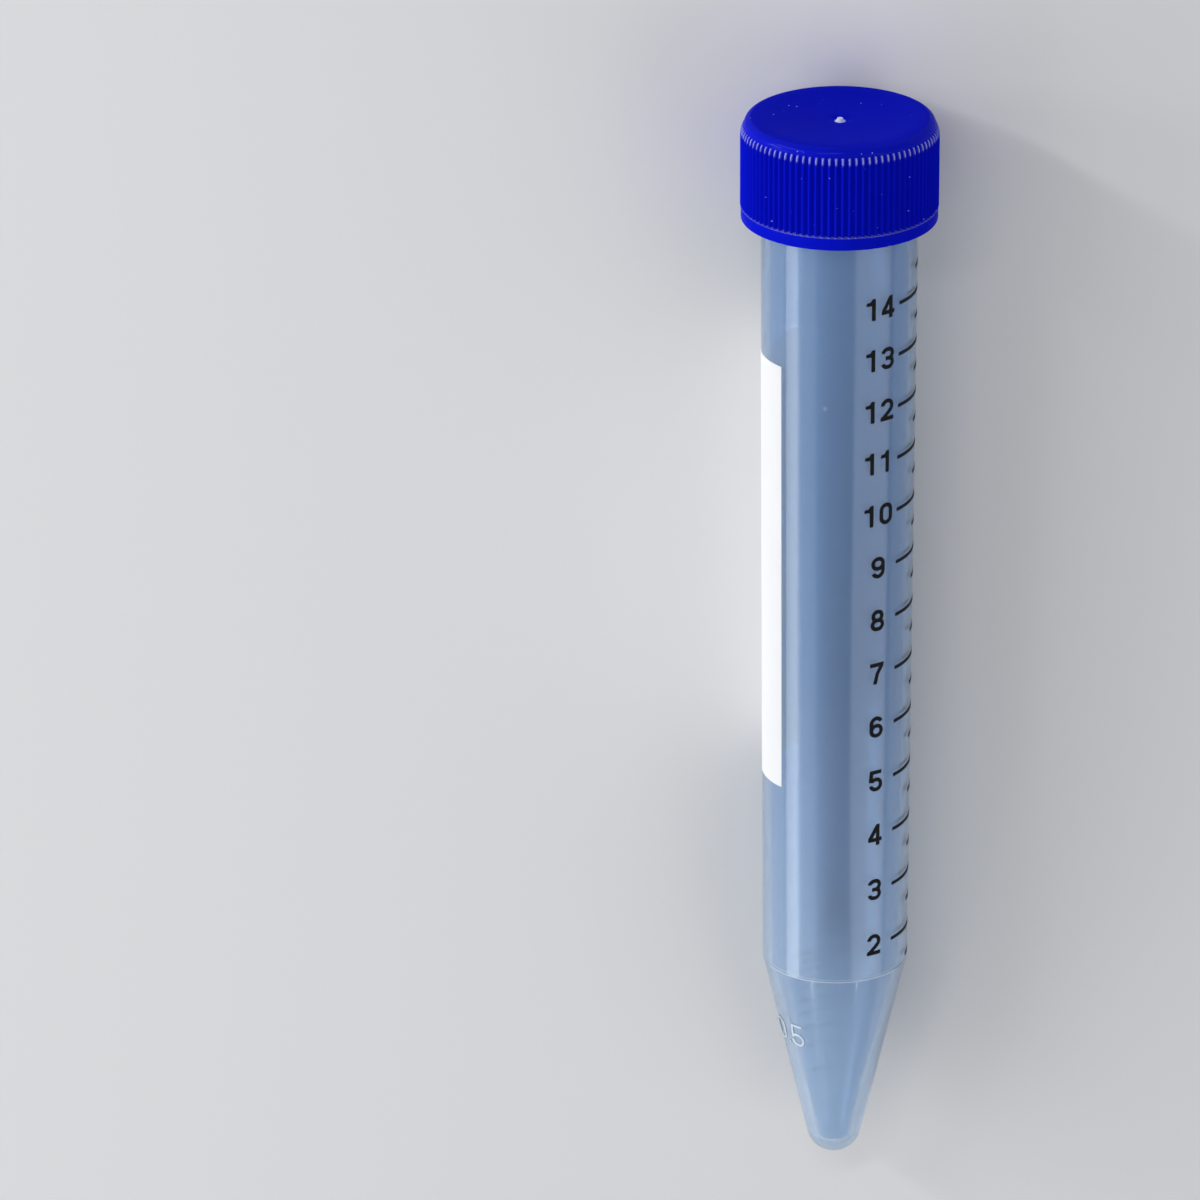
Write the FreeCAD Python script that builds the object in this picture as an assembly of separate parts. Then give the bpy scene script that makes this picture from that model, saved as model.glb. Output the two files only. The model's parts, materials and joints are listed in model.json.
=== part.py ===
import FreeCAD, Part

import math
import os

# A 15 ml conical tube with its ribbed screw cap, a white writing panel and a printed scale.
#
# Lengths are in millimetres, angles in degrees and volumes in millilitres.
# Every piece is drawn upright: Z runs up the axis from the tip to the cap, and angles turn
# about Z, from +X towards +Y. The last section lays the closed tube on its side, as it comes
# to rest: on the ribs of its cap and on the edge between its body and its cone.
# There the axis runs along +X, and angle 0 faces up.

Vector = FreeCAD.Vector
AXIS = Vector(0, 0, 1)
FULL_TURN = 360.0

# Tube, outside
TUBE_LENGTH = 118.8
SHOULDER_HEIGHT = 23.7
SHOULDER_RADIUS = 7.82
MOUTH_RADIUS = 8.33
TIP_RADIUS = 3.0
MOUTH_EDGE_RADIUS = 0.2

# Tube, inside: the bore follows the outside at these walls
SHOULDER_WALL = 0.9
MOUTH_WALL = 0.78
BORE_SHOULDER_RADIUS = SHOULDER_RADIUS - SHOULDER_WALL
BORE_MOUTH_RADIUS = MOUTH_RADIUS - MOUTH_WALL
BORE_TIP_RADIUS = 1.0
BORE_FLAT_RADIUS = 0.7
FLOOR_THICKNESS = 1.75

# Thread on the neck: one ridge, with its top end this far below the mouth
THREAD_PITCH = 3.0
THREAD_TURNS = 1.6
THREAD_HEIGHT = 0.72
THREAD_CREST_WIDTH = 0.45
THREAD_FLANK_ANGLE = 25.0
THREAD_DEPTH = 2.9
THREAD_ROOT_SINK = 0.15

# Raised marks moulded on the cone
MOULDED_MARK_HEIGHT = 0.1
MOULDED_LINE_WIDTH = 0.24
MOULDED_TENTHS = 10
MOULDED_LONG_EVERY = 5
MOULDED_TICK_END_ANGLE = 230.0
MOULDED_LONG_ANGLE = 61.0
MOULDED_SHORT_ANGLE = 51.0
MOULDED_NUMERAL_HEIGHT = 2.7
MOULDED_NUMERAL_WIDTH = 1.75
MOULDED_NUMERAL_ANGLE = -55.0
MOULDED_NUMERAL_PITCH_ANGLE = 13.5

# Cap
CAP_HEIGHT = 11.2
CAP_TOP_WALL = 1.7
THREAD_CLEARANCE = 0.3
SKIRT_WALL = 0.77
SKIRT_CHAMFER = 0.25
RIB_COUNT = 92
RIB_DEPTH = 0.38
RIB_WIDTH_SHARE = 0.72
RIB_CREST_SHARE = 0.32
RIB_SINK = 0.05
# How far the closed cap is screwed round, in whole ribs. Its shape repeats at each rib, so this
# changes only where the seam of its surfaces lies.
CAP_TURN_IN_RIBS = 84
RIM_RADIUS = 0.9
RIB_TOP_GAP = 1.0
RIB_RUNOUT = 0.9
BAND_HEIGHT = 1.5
BAND_STEP = 0.08
BAND_LEDGE = 0.12
BAND_EDGE_CHAMFER = 0.15
DISH_RADIUS = 8.4
DISH_DEPTH = 0.35
GATE_DIMPLE_RADIUS = 1.1
GATE_DIMPLE_DEPTH = 0.2
GATE_NUB_RADIUS = 0.45
GATE_NUB_TOP_RADIUS = 0.3
GATE_NUB_HEIGHT = 0.35

# Plug seal inside the cap
PLUG_CLEARANCE = 0.05
PLUG_LENGTH = 2.8
PLUG_WALL = 0.8
PLUG_LEAD = 0.3

# Print on the body
PRINT_THICKNESS = 0.05
PANEL_START_ANGLE = -147.0
PANEL_ANGLE = 100.0
PANEL_BOTTOM = 45.8
PANEL_HEIGHT = 48.6

# The full mark, to which the tube holds FULL_ML, stands this far below the thread
FULL_ML = 15
FULL_MARK_CLEARANCE = 3.778
SCALE_FIRST_ML = 2
SCALE_LAST_ML = 14
TICKS_PER_ML = 2
TICK_WIDTH = 0.4
LONG_TICK_START_ANGLE = 50.5
SHORT_TICK_START_ANGLE = 76.5
TICK_END_ANGLE = 102.0
NUMERAL_ANGLE = 32.5
NUMERAL_HEIGHT = 2.45
NUMERAL_WIDTH = 1.68
NUMERAL_STROKE = 0.44
NUMERAL_PITCH = 1.9

# How far a cutting or trimming tool reaches past what it trims
REACH = 1.0

# How many slices of the bore are added up to find a volume
BORE_SLICES = 6000


# ---------------------------------------------------------------- profiles

def cone_angle(wide_radius, height, tip_radius, flat_radius):
    """Half angle in radians of a cone that runs out tangent to a rounded tip.

    The tip is an arc of tip_radius round a flat of flat_radius, height below the wide end.
    """
    across = wide_radius - flat_radius
    down = height - tip_radius
    lean = math.atan2(down, across)
    return math.acos(tip_radius / math.hypot(across, down)) - lean


OUTER_CONE = cone_angle(SHOULDER_RADIUS, SHOULDER_HEIGHT, TIP_RADIUS, 0.0)
BORE_CONE = cone_angle(
    BORE_SHOULDER_RADIUS, SHOULDER_HEIGHT - FLOOR_THICKNESS, BORE_TIP_RADIUS, BORE_FLAT_RADIUS
)


def body_radius(z):
    """Outside radius of the slightly tapered body."""
    share = (z - SHOULDER_HEIGHT) / (TUBE_LENGTH - SHOULDER_HEIGHT)
    return SHOULDER_RADIUS + share * (MOUTH_RADIUS - SHOULDER_RADIUS)


def cone_radius(z):
    """Outside radius of the cone, above its rounded tip."""
    return SHOULDER_RADIUS - (SHOULDER_HEIGHT - z) * math.tan(OUTER_CONE)


def bore_radius(z):
    """Inside radius at any height above the floor."""
    if z >= SHOULDER_HEIGHT:
        share = (z - SHOULDER_HEIGHT) / (TUBE_LENGTH - SHOULDER_HEIGHT)
        return BORE_SHOULDER_RADIUS + share * (BORE_MOUTH_RADIUS - BORE_SHOULDER_RADIUS)
    tip_end = FLOOR_THICKNESS + BORE_TIP_RADIUS * (1 - math.sin(BORE_CONE))
    if z >= tip_end:
        return BORE_SHOULDER_RADIUS - (SHOULDER_HEIGHT - z) * math.tan(BORE_CONE)
    drop = FLOOR_THICKNESS + BORE_TIP_RADIUS - z
    return BORE_FLAT_RADIUS + math.sqrt(max(BORE_TIP_RADIUS**2 - drop**2, 0.0))


def fill_height(millilitres):
    """Height above the tip to which a volume fills the upright tube.

    A volume is its share of the room between the floor and the full mark.
    """
    full_mark = TUBE_LENGTH - THREAD_DEPTH - THREAD_PITCH * THREAD_TURNS - FULL_MARK_CLEARANCE
    step = (full_mark - FLOOR_THICKNESS) / BORE_SLICES
    rooms = [
        math.pi * bore_radius(FLOOR_THICKNESS + (index + 0.5) * step) ** 2 * step
        for index in range(BORE_SLICES)
    ]
    left = sum(rooms) * millilitres / FULL_ML
    for index, room in enumerate(rooms):
        if room >= left:
            return FLOOR_THICKNESS + (index + left / room) * step
        left -= room
    return full_mark


def polar(radius, degrees):
    """A point of the XY plane."""
    turn = math.radians(degrees)
    return Vector(radius * math.cos(turn), radius * math.sin(turn), 0)


def point(radius, z):
    """A point of the half section that is turned about Z."""
    return Vector(radius, 0, z)


def line(start, end):
    return Part.LineSegment(start, end).toShape()


def arc(start, middle, end):
    return Part.Arc(start, middle, end).toShape()


def tip_arc(flat_radius, floor, radius, cone):
    """The rounded tip's arc in section, from the flat out to the cone, and its end point."""
    centre = point(flat_radius, floor + radius)
    half = (math.pi / 2 + cone) / 2
    middle = centre + Vector(math.cos(half) * radius, 0, -math.sin(half) * radius)
    end = centre + Vector(math.cos(cone) * radius, 0, -math.sin(cone) * radius)
    return arc(point(flat_radius, floor), middle, end), end


def corner_arc(start, corner, end):
    """A rounded edge in section, from start to end, that bulges towards corner."""
    chord = (start + end) / 2
    middle = chord + (corner - chord) * (math.sqrt(2) - 1)
    return arc(start, middle, end)


def turned(edges, span=FULL_TURN, start=0.0):
    """The closed half section turned about Z through span, from the angle start."""
    face = Part.Face(Part.Wire(edges))
    solid = face.revolve(Vector(0, 0, 0), AXIS, span)
    solid.rotate(Vector(0, 0, 0), AXIS, start)
    return solid


def path(points):
    """Straight edges through the points and back to the first."""
    return [line(a, b) for a, b in zip(points, points[1:] + points[:1])]


def surface_patch(radius_at, low, high, start, span, inward, outward):
    """A thin patch that follows a tapered surface, from inward below it to outward above it."""
    section = path([
        point(radius_at(low) - inward, low),
        point(radius_at(low) + outward, low),
        point(radius_at(high) + outward, high),
        point(radius_at(high) - inward, high),
    ])
    return turned(section, span, start)


# ---------------------------------------------------------------- numerals

class Glyph:
    """Strokes of one plain sans numeral, drawn flat: u to the right and v up, centred on 0, 0."""

    def __init__(self, height, width, stroke):
        self.height = height
        self.width = width
        self.stroke = stroke
        self.faces = []

    def polygon(self, points):
        corners = [Vector(0, u, v) for u, v in points]
        self.faces.append(Part.Face(Part.Wire(path(corners))))

    def bar(self, u0, v0, u1, v1):
        """A straight stroke between two points of its centre line."""
        along = math.hypot(u1 - u0, v1 - v0)
        across_u = -(v1 - v0) / along * self.stroke / 2
        across_v = (u1 - u0) / along * self.stroke / 2
        self.polygon([
            (u0 - across_u, v0 - across_v),
            (u1 - across_u, v1 - across_v),
            (u1 + across_u, v1 + across_v),
            (u0 + across_u, v0 + across_v),
        ])

    def bend(self, u, v, radius, start, end):
        """A curved stroke round u, v from the angle start anticlockwise to end."""
        def at(size, degrees):
            turn = math.radians(degrees)
            return Vector(0, u + size * math.cos(turn), v + size * math.sin(turn))

        inner = radius - self.stroke / 2
        outer = radius + self.stroke / 2
        middle = (start + end) / 2
        self.faces.append(Part.Face(Part.Wire([
            arc(at(outer, start), at(outer, middle), at(outer, end)),
            line(at(outer, end), at(inner, end)),
            arc(at(inner, end), at(inner, middle), at(inner, start)),
            line(at(inner, start), at(outer, start)),
        ])))

    def bowl(self, v, radius, half_flat, left_from, left_to):
        """A round-ended bowl centred at height v: its right side, flats and part of its left.

        The left side is drawn from left_from to left_to, angles between 90 and 270.
        """
        self.bend(half_flat, v, radius, -90, 90)
        self.bar(-half_flat, v + radius, half_flat, v + radius)
        self.bar(-half_flat, v - radius, half_flat, v - radius)
        if left_from > 90:
            self.bend(-half_flat, v, radius, 90, left_from)
        if left_to < 270:
            self.bend(-half_flat, v, radius, left_to, 270)
        if left_from <= 90 and left_to >= 270:
            self.bend(-half_flat, v, radius, 90, 270)

    def shape(self):
        """The strokes joined, and trimmed to the numeral's box."""
        joined = self.faces[0].fuse(self.faces[1:]) if len(self.faces) > 1 else self.faces[0]
        corner = Vector(0, -self.width / 2, -self.height / 2)
        box = Part.makePlane(self.width, self.height, corner, Vector(1, 0, 0), Vector(0, 1, 0))
        return joined.common(box).removeSplitter()


def draw_zero(g):
    side = (g.width - g.stroke) / 2
    straight = (g.height - g.width) / 2
    g.bend(0, straight, side, 0, 180)
    g.bend(0, -straight, side, 180, 360)
    g.bar(-side, -straight, -side, straight)
    g.bar(side, -straight, side, straight)


def draw_one(g):
    right = 0.18 * g.width
    left = -0.44 * g.width
    top = g.height / 2
    flag_top = top - 0.17 * g.height
    flag_foot = flag_top - 0.8 * g.stroke
    g.polygon([
        (right, -top),
        (right, top),
        (right - 0.8 * g.stroke, top),
        (right - 1.3 * g.stroke, flag_top + 0.03 * g.height),
        (left, flag_top),
        (left, flag_foot),
        (right - g.stroke, flag_foot),
        (right - g.stroke, -top),
    ])


def draw_two(g):
    side = (g.width - g.stroke) / 2
    centre = g.height / 2 - g.width / 2
    low = -g.height / 2 + g.stroke / 2
    turn = math.radians(48)
    g.bend(0, centre, side, -48, 172)
    g.bar(side * math.cos(turn), centre - side * math.sin(turn), -side, low)
    g.bar(-g.width / 2, low, g.width / 2, low)


def draw_three(g):
    radius = (g.height - g.stroke) / 4
    flat = (g.width - g.stroke) / 2 - radius
    g.bend(flat, radius, radius, -90, 90)
    g.bar(-flat, 2 * radius, flat, 2 * radius)
    g.bend(-flat, radius, radius, 90, 168)
    g.bar(-0.17 * g.width, 0, flat, 0)
    g.bend(flat, -radius, radius, -90, 90)
    g.bar(-flat, -2 * radius, flat, -2 * radius)
    g.bend(-flat, -radius, radius, 192, 270)


def draw_four(g):
    stem = 0.2 * g.width
    shelf = -0.23 * g.height
    g.bar(stem, -g.height / 2, stem, g.height / 2)
    g.bar(-g.width / 2, shelf, g.width / 2, shelf)
    g.bar(-g.width / 2 + 0.3 * g.stroke, shelf, stem, g.height / 2 - 0.2 * g.stroke)


def draw_five(g):
    radius = 0.235 * g.height
    flat = (g.width - g.stroke) / 2 - radius
    centre = -g.height / 2 + g.stroke / 2 + radius
    head = (g.height - g.stroke) / 2
    stem_top = -0.3 * g.width
    stem_foot = -0.38 * g.width
    g.bar(stem_top - g.stroke / 2, head, 0.42 * g.width, head)
    g.bar(stem_top, g.height / 2, stem_foot, centre + 0.5 * radius)
    g.bend(flat, centre, radius, -90, 90)
    g.bar(-flat, centre + radius, flat, centre + radius)
    g.bend(-flat, centre, radius, 90, 150)
    g.bar(-flat, centre - radius, flat, centre - radius)
    g.bend(-flat, centre, radius, 192, 270)


def draw_six(g):
    side = (g.width - g.stroke) / 2
    radius = 0.23 * g.height
    flat = side - radius
    centre = -g.height / 2 + g.stroke / 2 + radius
    crown = g.height / 2 - g.width / 2
    g.bend(flat, centre, radius, -90, 90)
    g.bend(-flat, centre, radius, 90, 270)
    g.bar(-flat, centre + radius, flat, centre + radius)
    g.bar(-flat, centre - radius, flat, centre - radius)
    g.bar(-side, centre, -side, crown)
    g.bend(0, crown, side, 22, 180)


def draw_seven(g):
    head = (g.height - g.stroke) / 2
    g.bar(-g.width / 2, head, g.width / 2, head)
    g.bar(0.5 * g.width - 0.4 * g.stroke, head, 0.02 * g.width, -0.02 * g.height)
    g.bar(0.04 * g.width, 0.02 * g.height, -0.14 * g.width, -g.height / 2)


def draw_eight(g):
    radius = (g.height - g.stroke) / 4
    side = (g.width - g.stroke) / 2
    for centre, flat in ((radius, 0.86 * side - radius), (-radius, side - radius)):
        g.bend(flat, centre, radius, -90, 90)
        g.bend(-flat, centre, radius, 90, 270)
        for edge in (centre - radius, centre + radius):
            g.bar(-flat, edge, flat, edge)


def draw_nine(g):
    draw_six(g)
    for face in g.faces:
        face.rotate(Vector(0, 0, 0), Vector(1, 0, 0), 180)


def draw_point(g):
    half = 0.6 * g.stroke
    low = -g.height / 2
    g.polygon([(-half, low), (half, low), (half, low + 2 * half), (-half, low + 2 * half)])


DRAWERS = {
    "0": draw_zero,
    "1": draw_one,
    "2": draw_two,
    "3": draw_three,
    "4": draw_four,
    "5": draw_five,
    "6": draw_six,
    "7": draw_seven,
    "8": draw_eight,
    "9": draw_nine,
    ".": draw_point,
}


def numeral_on_surface(character, size, radius_at, z, angle, inward, outward):
    """One numeral wrapped on a tapered surface, upright, centred at height z and at an angle."""
    height, width, stroke = size
    glyph = Glyph(height, width, stroke)
    DRAWERS[character](glyph)
    flat = glyph.shape()
    flat.translate(Vector(radius_at(z) - REACH, 0, z))
    prism = flat.extrude(Vector(2 * REACH, 0, 0))
    half_span = math.degrees(math.asin(width / 2 / (radius_at(z) - REACH)))
    low = z - height / 2 - REACH / 10
    high = z + height / 2 + REACH / 10
    skin = surface_patch(radius_at, low, high, -half_span, 2 * half_span, inward, outward)
    wrapped = prism.common(skin)
    wrapped.rotate(Vector(0, 0, 0), AXIS, angle)
    return wrapped.Solids


# ---------------------------------------------------------------- tube

def neck_thread():
    """The helical ridge on the neck, sunk a little into the wall that it is moulded with."""
    neck = body_radius(TUBE_LENGTH - THREAD_DEPTH)
    root = neck - THREAD_ROOT_SINK
    crest = neck + THREAD_HEIGHT
    flare = (crest - root) * math.tan(math.radians(THREAD_FLANK_ANGLE))
    crest_half = THREAD_CREST_WIDTH / 2
    root_half = crest_half + flare
    rise = THREAD_PITCH * THREAD_TURNS
    low = TUBE_LENGTH - THREAD_DEPTH - rise
    section = Part.Wire(path([
        point(root, -root_half),
        point(crest, -crest_half),
        point(crest, crest_half),
        point(root, root_half),
    ]))
    helix = Part.Wire(Part.makeHelix(THREAD_PITCH, rise, root))
    ridge = helix.makePipeShell([section], True, True)
    ridge.translate(Vector(0, 0, low))
    return ridge


def moulded_marks():
    """Raised lines at each tenth of a millilitre on the cone, and the half millilitre's figures."""
    marks = []
    half = MOULDED_LINE_WIDTH / 2
    for tenth in range(1, MOULDED_TENTHS + 1):
        z = fill_height(tenth / 10)
        is_long = tenth % MOULDED_LONG_EVERY == 0
        span = MOULDED_LONG_ANGLE if is_long else MOULDED_SHORT_ANGLE
        marks.append(surface_patch(
            cone_radius, z - half, z + half, MOULDED_TICK_END_ANGLE - span, span,
            MOULDED_MARK_HEIGHT, MOULDED_MARK_HEIGHT,
        ))
    size = (MOULDED_NUMERAL_HEIGHT, MOULDED_NUMERAL_WIDTH, MOULDED_LINE_WIDTH)
    for place, character in enumerate("0.5"):
        angle = MOULDED_NUMERAL_ANGLE + (place - 1) * MOULDED_NUMERAL_PITCH_ANGLE
        marks += numeral_on_surface(
            character, size, cone_radius, fill_height(0.5), angle,
            MOULDED_MARK_HEIGHT, MOULDED_MARK_HEIGHT,
        )
    return marks


def make_tube():
    """The tube: one hollow moulding with its cone, neck thread and raised marks."""
    outer_tip, outer_tip_end = tip_arc(0.0, 0.0, TIP_RADIUS, OUTER_CONE)
    bore_tip, bore_tip_end = tip_arc(BORE_FLAT_RADIUS, FLOOR_THICKNESS, BORE_TIP_RADIUS, BORE_CONE)
    lip = TUBE_LENGTH - MOUTH_EDGE_RADIUS
    outer_lip = point(body_radius(lip), lip)
    bore_lip = point(bore_radius(lip), lip)
    outer_rim = point(body_radius(lip) - MOUTH_EDGE_RADIUS, TUBE_LENGTH)
    bore_rim = point(bore_radius(lip) + MOUTH_EDGE_RADIUS, TUBE_LENGTH)
    shoulder = point(SHOULDER_RADIUS, SHOULDER_HEIGHT)
    bore_shoulder = point(BORE_SHOULDER_RADIUS, SHOULDER_HEIGHT)
    section = [
        outer_tip,
        line(outer_tip_end, shoulder),
        line(shoulder, outer_lip),
        corner_arc(outer_lip, point(outer_lip.x, TUBE_LENGTH), outer_rim),
        line(outer_rim, bore_rim),
        corner_arc(bore_rim, point(bore_lip.x, TUBE_LENGTH), bore_lip),
        line(bore_lip, bore_shoulder),
        line(bore_shoulder, bore_tip_end),
        bore_tip,
        line(point(BORE_FLAT_RADIUS, FLOOR_THICKNESS), point(0, FLOOR_THICKNESS)),
        line(point(0, FLOOR_THICKNESS), point(0, 0)),
    ]
    wall = turned(section)
    return wall.fuse([neck_thread()] + moulded_marks()).removeSplitter()


# ---------------------------------------------------------------- cap

CAP_TOP = TUBE_LENGTH + CAP_TOP_WALL
CAP_BOTTOM = CAP_TOP - CAP_HEIGHT
CAP_BORE = body_radius(TUBE_LENGTH - THREAD_DEPTH) + THREAD_HEIGHT + THREAD_CLEARANCE
VALLEY_RADIUS = CAP_BORE + SKIRT_WALL
CREST_RADIUS = VALLEY_RADIUS + RIB_DEPTH
BAND_RADIUS = CREST_RADIUS - BAND_STEP
BAND_TOP = CAP_BOTTOM + BAND_HEIGHT
RIB_FOOT = BAND_TOP - BAND_LEDGE
RIB_TOP = CAP_TOP - RIB_TOP_GAP


def plug_radius(z):
    """Outside radius of the plug seal, which follows the bore that it enters."""
    return bore_radius(z) - PLUG_CLEARANCE


def cap_core():
    """The cap without its ribs: top wall, skirt, band, plug seal and the gate's mark."""
    plug_end = TUBE_LENGTH - PLUG_LENGTH
    plug_inner = plug_radius(plug_end) - PLUG_WALL
    dish_floor = CAP_TOP - DISH_DEPTH
    dimple_floor = dish_floor - GATE_DIMPLE_DEPTH
    dish_share = (GATE_DIMPLE_RADIUS / DISH_RADIUS) ** 2
    dimple_edge = point(GATE_DIMPLE_RADIUS, dish_floor + DISH_DEPTH * dish_share)
    dish = [
        point(radius, dish_floor + DISH_DEPTH * (radius / DISH_RADIUS) ** 2)
        for radius in (DISH_RADIUS, DISH_RADIUS * 0.76, DISH_RADIUS * 0.47)
    ] + [dimple_edge]
    rim_flat = point(VALLEY_RADIUS - RIM_RADIUS, CAP_TOP)
    rim_side = point(VALLEY_RADIUS, CAP_TOP - RIM_RADIUS)
    band_foot = point(BAND_RADIUS - BAND_EDGE_CHAMFER, CAP_BOTTOM)
    band_side = point(BAND_RADIUS, CAP_BOTTOM + BAND_EDGE_CHAMFER)
    nub_top = dimple_floor + GATE_NUB_HEIGHT
    section = [
        line(point(0, TUBE_LENGTH), point(plug_inner, TUBE_LENGTH)),
        line(point(plug_inner, TUBE_LENGTH), point(plug_inner, plug_end)),
        line(point(plug_inner, plug_end), point(plug_radius(plug_end) - PLUG_LEAD, plug_end)),
        line(
            point(plug_radius(plug_end) - PLUG_LEAD, plug_end),
            point(plug_radius(plug_end + PLUG_LEAD), plug_end + PLUG_LEAD),
        ),
        line(
            point(plug_radius(plug_end + PLUG_LEAD), plug_end + PLUG_LEAD),
            point(plug_radius(TUBE_LENGTH), TUBE_LENGTH),
        ),
        line(point(plug_radius(TUBE_LENGTH), TUBE_LENGTH), point(CAP_BORE, TUBE_LENGTH)),
        line(point(CAP_BORE, TUBE_LENGTH), point(CAP_BORE, CAP_BOTTOM + SKIRT_CHAMFER)),
        line(
            point(CAP_BORE, CAP_BOTTOM + SKIRT_CHAMFER),
            point(CAP_BORE + SKIRT_CHAMFER, CAP_BOTTOM),
        ),
        line(point(CAP_BORE + SKIRT_CHAMFER, CAP_BOTTOM), band_foot),
        line(band_foot, band_side),
        line(band_side, point(BAND_RADIUS, RIB_FOOT)),
        line(point(BAND_RADIUS, RIB_FOOT), point(VALLEY_RADIUS, BAND_TOP)),
        line(point(VALLEY_RADIUS, BAND_TOP), rim_side),
        corner_arc(rim_side, point(VALLEY_RADIUS, CAP_TOP), rim_flat),
        line(rim_flat, point(DISH_RADIUS, CAP_TOP)),
    ] + [line(start, end) for start, end in zip(dish, dish[1:])] + [
        line(dimple_edge, point(GATE_NUB_RADIUS, dimple_floor)),
        line(point(GATE_NUB_RADIUS, dimple_floor), point(GATE_NUB_TOP_RADIUS, nub_top)),
        line(point(GATE_NUB_TOP_RADIUS, nub_top), point(0, nub_top)),
        line(point(0, nub_top), point(0, TUBE_LENGTH)),
    ]
    return turned(section)


def rib_ring():
    """A ring with flat-topped ribs all round, each of which slopes into the skirt at its top."""
    pitch = FULL_TURN / RIB_COUNT
    half_crest = pitch * RIB_CREST_SHARE / 2
    half_foot = pitch * RIB_WIDTH_SHARE / 2
    sunk = VALLEY_RADIUS - RIB_SINK
    corners = []
    for index in range(RIB_COUNT):
        crest = (index + 0.5) * pitch
        corners.append(polar(sunk, crest - half_foot))
        corners.append(polar(CREST_RADIUS, crest - half_crest))
        corners.append(polar(CREST_RADIUS, crest + half_crest))
        corners.append(polar(sunk, crest + half_foot))
    inner = VALLEY_RADIUS - SKIRT_WALL / 2
    outline = Part.makePolygon(corners + corners[:1])
    face = Part.Face(outline).cut(Part.Face(Part.Wire(Part.makeCircle(inner))))
    face.translate(Vector(0, 0, RIB_FOOT))
    ring = face.extrude(Vector(0, 0, RIB_TOP - RIB_FOOT))
    clear = CREST_RADIUS + REACH / 20
    slope_foot = RIB_TOP - RIB_RUNOUT
    slope_top = slope_foot + RIB_RUNOUT * (clear - sunk) / (clear - VALLEY_RADIUS)
    envelope = turned([
        line(point(inner - REACH / 10, RIB_FOOT - REACH), point(clear, RIB_FOOT - REACH)),
        line(point(clear, RIB_FOOT - REACH), point(clear, slope_foot)),
        line(point(clear, slope_foot), point(sunk, slope_top)),
        line(point(sunk, slope_top), point(inner - REACH / 10, slope_top)),
        line(point(inner - REACH / 10, slope_top), point(inner - REACH / 10, RIB_FOOT - REACH)),
    ])
    return ring.common(envelope)


def make_cap():
    """The cap: one moulding with its ribs. A valley between two ribs faces angle 180."""
    cap = cap_core().fuse(rib_ring()).removeSplitter()
    cap.rotate(Vector(0, 0, 0), AXIS, FULL_TURN / RIB_COUNT * CAP_TURN_IN_RIBS)
    return cap


# ---------------------------------------------------------------- print

def make_writing_panel():
    """The white panel to write on, a thin field of ink on the body."""
    top = PANEL_BOTTOM + PANEL_HEIGHT
    return surface_patch(
        body_radius, PANEL_BOTTOM, top, PANEL_START_ANGLE, PANEL_ANGLE, 0.0, PRINT_THICKNESS
    )


def make_scale_print():
    """The black scale: a long line and its figures at each millilitre, a short line between."""
    pieces = []
    half = TICK_WIDTH / 2
    size = (NUMERAL_HEIGHT, NUMERAL_WIDTH, NUMERAL_STROKE)
    first = SCALE_FIRST_ML * TICKS_PER_ML - 1
    last = SCALE_LAST_ML * TICKS_PER_ML + 1
    for step in range(first, last + 1):
        z = fill_height(step / TICKS_PER_ML)
        is_whole = step % TICKS_PER_ML == 0
        start = LONG_TICK_START_ANGLE if is_whole else SHORT_TICK_START_ANGLE
        pieces.append(surface_patch(
            body_radius, z - half, z + half, start, TICK_END_ANGLE - start, 0.0, PRINT_THICKNESS
        ))
        if not is_whole:
            continue
        figures = str(step // TICKS_PER_ML)
        pitch = math.degrees(NUMERAL_PITCH / body_radius(z))
        for place, character in enumerate(figures):
            angle = NUMERAL_ANGLE + (place - (len(figures) - 1) / 2) * pitch
            pieces += numeral_on_surface(
                character, size, body_radius, z, angle, 0.0, PRINT_THICKNESS
            )
    return Part.makeCompound(pieces)


# ---------------------------------------------------------------- lying at rest

def lying_placement():
    """Lay the closed tube down, so that its ribs and its shoulder edge touch the ground."""
    rib_reach = CREST_RADIUS * math.cos(math.pi / RIB_COUNT * (1 - RIB_CREST_SHARE))
    tilt = math.atan2(rib_reach - SHOULDER_RADIUS, RIB_FOOT - SHOULDER_HEIGHT)
    lift = SHOULDER_RADIUS * math.cos(tilt) - SHOULDER_HEIGHT * math.sin(tilt)
    tip_end = TIP_RADIUS * (math.cos(tilt) - 1)
    rim_centre = CAP_TOP - RIM_RADIUS
    rim_end = (rim_centre * math.cos(tilt) + (VALLEY_RADIUS - RIM_RADIUS) * math.sin(tilt)
               + RIM_RADIUS)
    middle = (tip_end + rim_end) / 2
    frame = FreeCAD.Matrix(
        -math.sin(tilt), 0, math.cos(tilt), -middle,
        0, -1, 0, 0,
        math.cos(tilt), 0, math.sin(tilt), lift,
        0, 0, 0, 1,
    )
    return frame


NODES = {
    "tube": make_tube,
    "cap": make_cap,
    "writing_panel": make_writing_panel,
    "scale_print": make_scale_print,
}

os.makedirs("parts", exist_ok=True)
LYING = lying_placement()
for node, make in NODES.items():
    shape = make()
    shape.transformShape(LYING, False, True)
    shape.exportStep("parts/" + node + ".step")
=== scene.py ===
"""The looks of a 15 ml conical tube with its screw cap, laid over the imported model.

Lengths are in metres and angles in degrees. Heights are measured along the tube's axis, from the
tip of its cone towards the cap. Angles turn round that axis from 0, which faces up, towards 90,
which faces the side of the printed lines.
"""

import bisect
import json
import logging
import math
from dataclasses import dataclass, field, replace
from enum import Enum
from typing import Callable

import bmesh
import bpy
from mathutils import Matrix, Vector


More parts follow.
